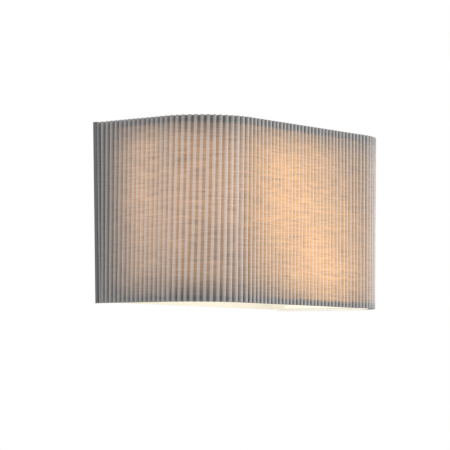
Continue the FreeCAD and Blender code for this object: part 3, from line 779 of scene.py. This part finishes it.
def plastic_finish(name, color, roughness, lit=0.0):
    """Plastic, rubber, enamel or ceramic with a fine grain; lit is the lamps' strength on it."""
    finish = Finish(name)
    grain = finish.noise(finish.object_place(), 500.0, 3.0)
    finish.bump(grain, 0.15, 0.0002)
    finish.feed("Base Color", finish.mix(grain, color, dulled(color, 0.88)))
    finish.feed("Roughness", finish.vary(grain, roughness - 0.06, roughness + 0.06))
    if lit:
        lamp_lit(finish, lit)
    return finish.material


def glowing_finish(name, color, light, strength):
    """Frosted or glowing lamp surface, a little uneven."""
    finish = Finish(name)
    finish.feed("Roughness", 0.35)
    cloud = finish.noise(finish.object_place(), 120.0, 2.0)
    finish.feed("Base Color", finish.mix(cloud, color, dulled(color, 0.93)))
    finish.feed("Emission Color", light)
    finish.feed("Emission Strength", finish.vary(cloud, strength * 0.92, strength * 1.08))
    return finish.material


# ---- build -----------------------------------------------------------------------------
cloth, cloth_cut = build_cloth()
cloth.data.materials.append(cloth_finish())

liner_material = liner_finish()
tape_material = tape_finish("hem_tape", (0.62, 0.61, 0.59), (0.50, 0.49, 0.47), lit=True)
liner = build_band("liner_sheet", bottom + hem_height, top - hem_height, liner_rows, "shade_liner")
liner.data.materials.append(liner_material)
for band_name, node, low, high in (
        ("upper_hem_band", "upper_hem_tape", top - hem_height, top),
        ("lower_hem_band", "lower_hem_tape", bottom, bottom + hem_height)):
    band = build_band(band_name, low, high, hem_band_rows, node)
    band.data.materials.append(tape_material)

edge_material = tape_finish("edge_tape", (0.24, 0.245, 0.26), (0.18, 0.185, 0.20), lit=False)
for side, band_name in ((-1, "left_edge_tape"), (1, "right_edge_tape")):
    tape = build_edge_tape(band_name, side)
    tape.data.materials.append(edge_material)

finishes = {
    "white_steel": lit_steel_finish(),
    "frame_wire": plastic_finish("frame_wire", (0.80, 0.79, 0.76), 0.35, lit=0.65),
    "plated_steel": metal_finish("plated_steel", (0.66, 0.66, 0.65), 0.28, 0.42),
    "brass_parts": metal_finish("brass_parts", (0.72, 0.53, 0.24), 0.25, 0.4),
    "grommet_rubber": plastic_finish("grommet_rubber", (0.045, 0.045, 0.047), 0.75),
    "bush_plastic": plastic_finish("bush_plastic", (0.74, 0.74, 0.72), 0.4),
    "block_plastic": plastic_finish("block_plastic", (0.82, 0.82, 0.80), 0.4),
    "earth_sleeve": plastic_finish("earth_sleeve", (0.16, 0.34, 0.05), 0.5),
    "live_sleeve": plastic_finish("live_sleeve", (0.16, 0.05, 0.02), 0.5),
    "neutral_sleeve": plastic_finish("neutral_sleeve", (0.02, 0.06, 0.25), 0.5),
    "holder_ceramic": plastic_finish("holder_ceramic", (0.74, 0.72, 0.67), 0.55, lit=0.25),
    "lamp_ceramic": plastic_finish("lamp_ceramic", (0.78, 0.77, 0.73), 0.5, lit=0.25),
    "lamp_glass": glowing_finish("lamp_glass", (0.9, 0.88, 0.82), (1, 0.86, 0.62), 1.6),
    "lamp_source": glowing_finish("lamp_source", (1.0, 0.85, 0.6), (1, 0.85, 0.6), 2.0),
}
slot_of = {row["node"]: row["material_slot"] for row in frame["record"]["subparts"]}
for node, piece in frame["nodes"].items():
    if slot_of[node] in finishes:
        piece.data.materials.clear()
        piece.data.materials.append(finishes[slot_of[node]])


# ---- studio ----------------------------------------------------------------------------
def make_world():
    """Even studio light, dimmer on the surfaces than what camera, mirrors and glass see."""
    on_surfaces, plain_white = 0.62, 1.0
    world = bpy.data.worlds.new("studio")
    world.use_nodes = True
    tree = world.node_tree
    rays = tree.nodes.new("ShaderNodeLightPath")
    seen = rays.outputs["Is Camera Ray"]
    for kind in ("Is Glossy Ray", "Is Transmission Ray"):
        either = tree.nodes.new("ShaderNodeMath")
        either.operation = "MAXIMUM"
        tree.links.new(seen, either.inputs[0])
        tree.links.new(rays.outputs[kind], either.inputs[1])
        seen = either.outputs[0]
    strength = tree.nodes.new("ShaderNodeMapRange")
    strength.inputs["To Min"].default_value = on_surfaces
    strength.inputs["To Max"].default_value = plain_white
    tree.links.new(seen, strength.inputs["Value"])
    background = tree.nodes["Background"]
    background.inputs["Color"].default_value = (1, 1, 1, 1)
    tree.links.new(strength.outputs[0], background.inputs["Strength"])
    scene.world = world


def make_key_light():
    """One broad soft lamp in front, well to the right and above."""
    data = bpy.data.lights.new("key", "AREA")
    data.shape = "DISK"
    data.size = 1.4
    data.energy = 55.0
    lamp = bpy.data.objects.new("key", data)
    lamp.location = (2.3, -2.2, 0.9)
    aim = Vector((0, -0.1, 0))
    lamp.rotation_euler = (aim - lamp.location).to_track_quat("-Z", "Y").to_euler()
    scene.collection.objects.link(lamp)


def make_floor():
    """Plain pale floor, far enough below a light that hangs on a wall."""
    size, level = 8.0, -1.6
    corners = [(-size, -size, level), (size, -size, level), (size, size, level), (-size, size, level)]
    floor = mesh_object("floor", corners, [(0, 1, 2, 3)])
    finish = Finish("floor")
    finish.feed("Roughness", 0.8)
    cloud = finish.noise(finish.object_place(), 3.0, 2.0)
    finish.feed("Base Color", finish.mix(cloud, (0.84, 0.84, 0.83), (0.80, 0.80, 0.79)))
    floor.data.materials.append(finish.material)


make_world()
make_key_light()
make_floor()
scene.view_settings.view_transform = "Standard"
